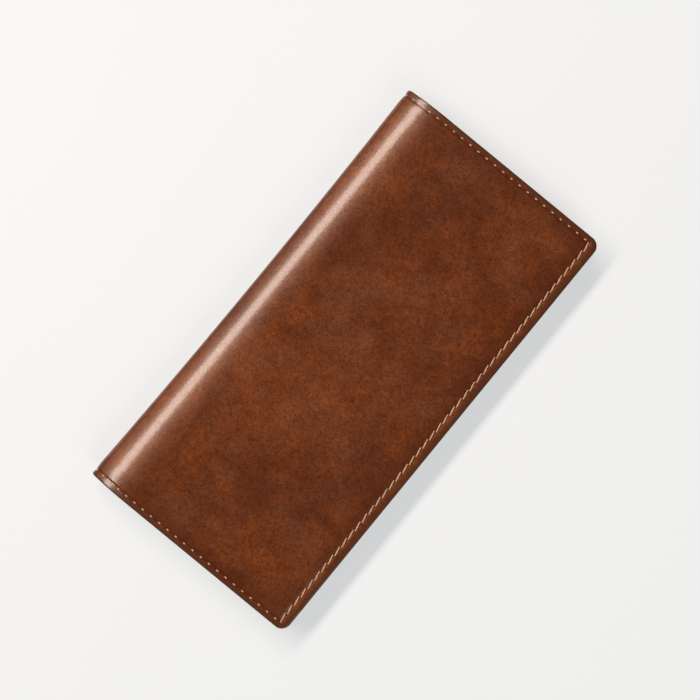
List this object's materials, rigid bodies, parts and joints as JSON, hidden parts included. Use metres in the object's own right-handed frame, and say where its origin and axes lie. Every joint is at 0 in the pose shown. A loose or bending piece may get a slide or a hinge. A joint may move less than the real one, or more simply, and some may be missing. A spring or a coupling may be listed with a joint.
{
  "type": "wallet",
  "caption": "Slim long bifold leather wallet, closed, with a rounded spine, a stitched rim, card slots and note pockets inside.",
  "frame": {"origin": "centre of the bottom of the closed wallet, where its back cover rests", "axes": "+X from the spine to the mouth, +Y along the spine, +Z from the back cover to the front cover"},
  "size_m": [0.0944, 0.19, 0.0126],
  "materials": {
    "cover_leather": "gloss",
    "inner_leather": "satin",
    "lining_leather": "satin",
    "slot_cloth": "matte",
    "board": "matte",
    "thread": "matte"
  },
  "bodies": {
    "back_half": {"back_board": "board", "back_card_cloth_1": "slot_cloth", "back_card_cloth_2": "slot_cloth", "back_card_cloth_3": "slot_cloth", "back_card_face_1": "inner_leather", "back_card_face_2": "inner_leather", "back_card_face_3": "inner_leather", "back_card_face_4": "inner_leather", "back_cover": "cover_leather", "back_cover_stitching": "thread", "back_divider_stitching": "thread", "back_lining": "lining_leather", "back_note_panel": "inner_leather"},
    "spine_back": {"spine_cover_1": "cover_leather", "spine_lining_1": "lining_leather", "spine_stitching_1": "thread"},
    "spine_nose": {"spine_cover_2": "cover_leather", "spine_lining_2": "lining_leather", "spine_stitching_2": "thread"},
    "spine_front": {"spine_cover_3": "cover_leather", "spine_lining_3": "lining_leather", "spine_stitching_3": "thread"},
    "front_half": {"front_board": "board", "front_cover": "cover_leather", "front_cover_stitching": "thread", "front_lining": "lining_leather", "front_note_panel": "inner_leather", "front_slip_cloth_1": "slot_cloth", "front_slip_face_1": "inner_leather", "front_slip_face_2": "inner_leather"}
  },
  "joints": [
    {"name": "cover_fold", "type": "hinge", "parent": "back_half", "child": "spine_back", "pos_m": [-0.03557, 0, 0.00058], "axis": [0, -1, 0], "range_deg": [0, 18.5]},
    {"name": "nose_fold_back", "type": "hinge", "parent": "spine_back", "child": "spine_nose", "pos_m": [-0.04671, 0, 0.00453], "axis": [0, -1, 0], "range_deg": [0, 71.5]},
    {"name": "nose_fold_front", "type": "hinge", "parent": "spine_nose", "child": "spine_front", "pos_m": [-0.04671, 0, 0.00807], "axis": [0, -1, 0], "range_deg": [0, 71.5]},
    {"name": "shoulder_fold_front", "type": "hinge", "parent": "spine_front", "child": "front_half", "pos_m": [-0.03557, 0, 0.01202], "axis": [0, -1, 0], "range_deg": [0, 18.5]}
  ],
  "couplings": [
    {"joint": "nose_fold_back", "follows": "cover_fold", "ratio": 3.8649},
    {"joint": "nose_fold_front", "follows": "cover_fold", "ratio": 3.8649},
    {"joint": "shoulder_fold_front", "follows": "cover_fold", "ratio": 1}
  ]
}
